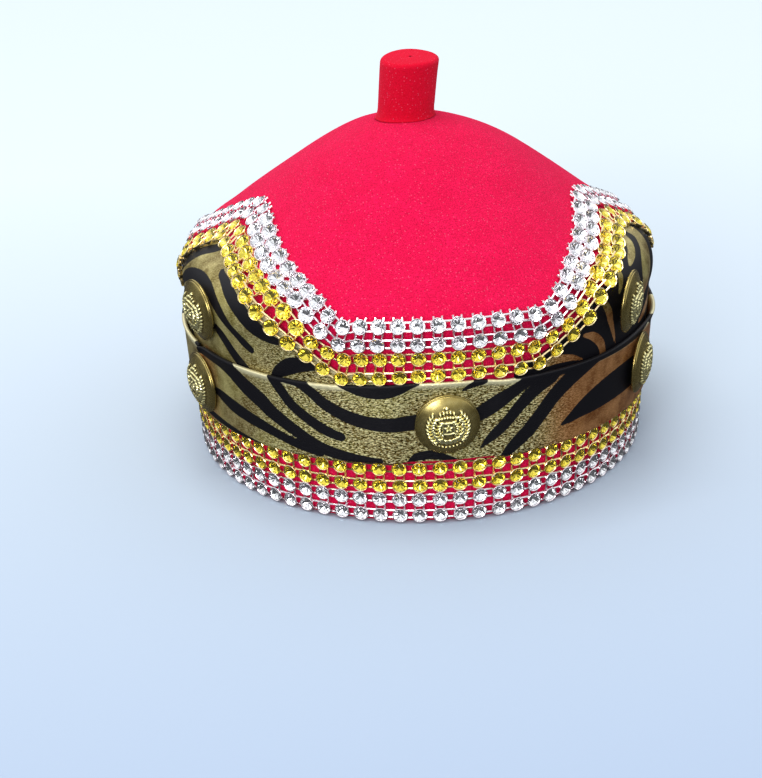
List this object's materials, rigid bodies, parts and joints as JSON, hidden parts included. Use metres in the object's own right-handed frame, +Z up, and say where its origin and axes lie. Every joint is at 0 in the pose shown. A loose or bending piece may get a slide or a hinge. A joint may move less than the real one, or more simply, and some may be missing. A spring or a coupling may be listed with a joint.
{
  "type": "chieftaincy cap",
  "caption": "Round red felt cap with a sloping crown and a top stalk, a printed leather band, raised side flaps, rhinestone trims and domed brass buttons",
  "frame": {"origin": "middle of the rim's underside, in the plane that the cap stands on", "axes": "+Z up through the crown, -Y to the front, where the upper trims dip between the flaps, and +X to the right of someone who faces that front"},
  "size_m": [0.2094, 0.2143, 0.1634],
  "materials": {
    "red_felt": "brushed wool felt with a fine nap",
    "printed_leather": "metallic gold leather printed with a black striped animal pattern",
    "gold_rhinestone": "cut gold-yellow stones in a metal net",
    "silver_rhinestone": "cut clear stones with silver backs in a metal net",
    "antique_brass": "domed, relief polished over darker ground"
  },
  "bodies": {
    "root": {"crown": "red_felt", "stalk": "red_felt", "band": "printed_leather", "flap_left": "printed_leather", "flap_right": "printed_leather", "silver_trim_lower": "silver_rhinestone", "gold_trim_lower": "gold_rhinestone", "gold_trim_upper": "gold_rhinestone", "silver_trim_upper": "silver_rhinestone", "band_button_front": "antique_brass", "band_button_front_right": "antique_brass", "band_button_back_right": "antique_brass", "band_button_back": "antique_brass", "band_button_back_left": "antique_brass", "band_button_front_left": "antique_brass", "flap_button_right": "antique_brass", "flap_button_left": "antique_brass"}
  },
  "joints": []
}
